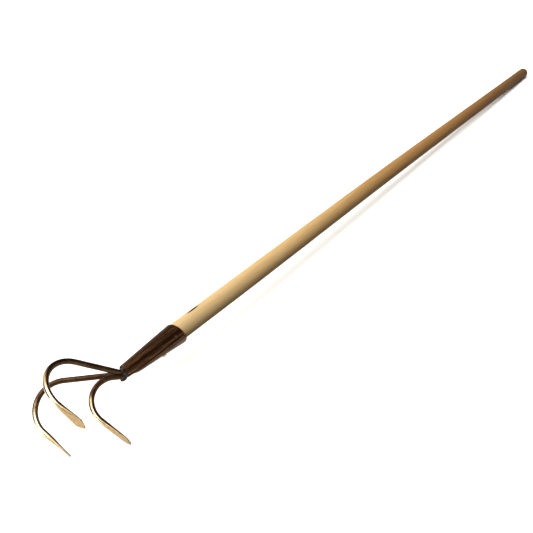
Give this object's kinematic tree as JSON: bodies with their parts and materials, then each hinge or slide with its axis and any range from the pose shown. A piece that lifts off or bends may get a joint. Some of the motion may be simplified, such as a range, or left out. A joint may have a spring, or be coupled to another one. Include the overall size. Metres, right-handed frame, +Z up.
{
  "type": "hand cultivator",
  "caption": "Long-handled three-tine hand cultivator: hooked bronze tines with leaf-shaped blades in a rolled socket on a round wooden handle.",
  "frame": {"origin": "centre of the footprint on the ground, under the tool as it lies at rest", "axes": "+X along the handle towards its butt, +Z up"},
  "size_m": [1.717, 0.161, 0.1603],
  "materials": {
    "handle_wood": "oiled, darkening towards the butt",
    "dark_bronze": "dark brown patina",
    "tine_bronze": "brown patina worn bright at the tips",
    "filler_bronze": "rough as cast",
    "screw_brass": "dull",
    "nail_steel": "blackened"
  },
  "bodies": {
    "root": {"handle": "handle_wood", "socket": "dark_bronze", "left_tine": "tine_bronze", "middle_tine": "tine_bronze", "right_tine": "tine_bronze", "neck_filler": "filler_bronze", "seam_screw": "screw_brass", "socket_nail": "nail_steel"}
  },
  "joints": []
}
